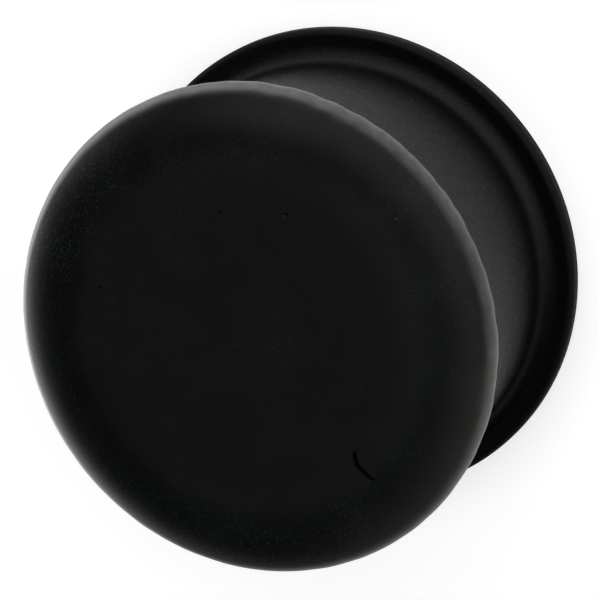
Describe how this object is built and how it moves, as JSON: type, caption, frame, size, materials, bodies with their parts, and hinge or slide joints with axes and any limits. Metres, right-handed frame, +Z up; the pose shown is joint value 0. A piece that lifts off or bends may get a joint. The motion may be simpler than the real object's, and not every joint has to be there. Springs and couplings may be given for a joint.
{
  "type": "ear plug",
  "caption": "Solid double flared ear plug of soft matte silicone, with a broad soft-edged front cap, a straight barrel and a thin back flange.",
  "frame": {"origin": "middle of the back face, on the surface that the plug stands on", "axes": "+Z up along the plug's axis, from the back face to the broad front face"},
  "size_m": [0.0186, 0.0186, 0.0115],
  "materials": {
    "silicone": "matte, faintly dusty black silicone"
  },
  "bodies": {
    "root": {"plug": "silicone"}
  },
  "joints": []
}
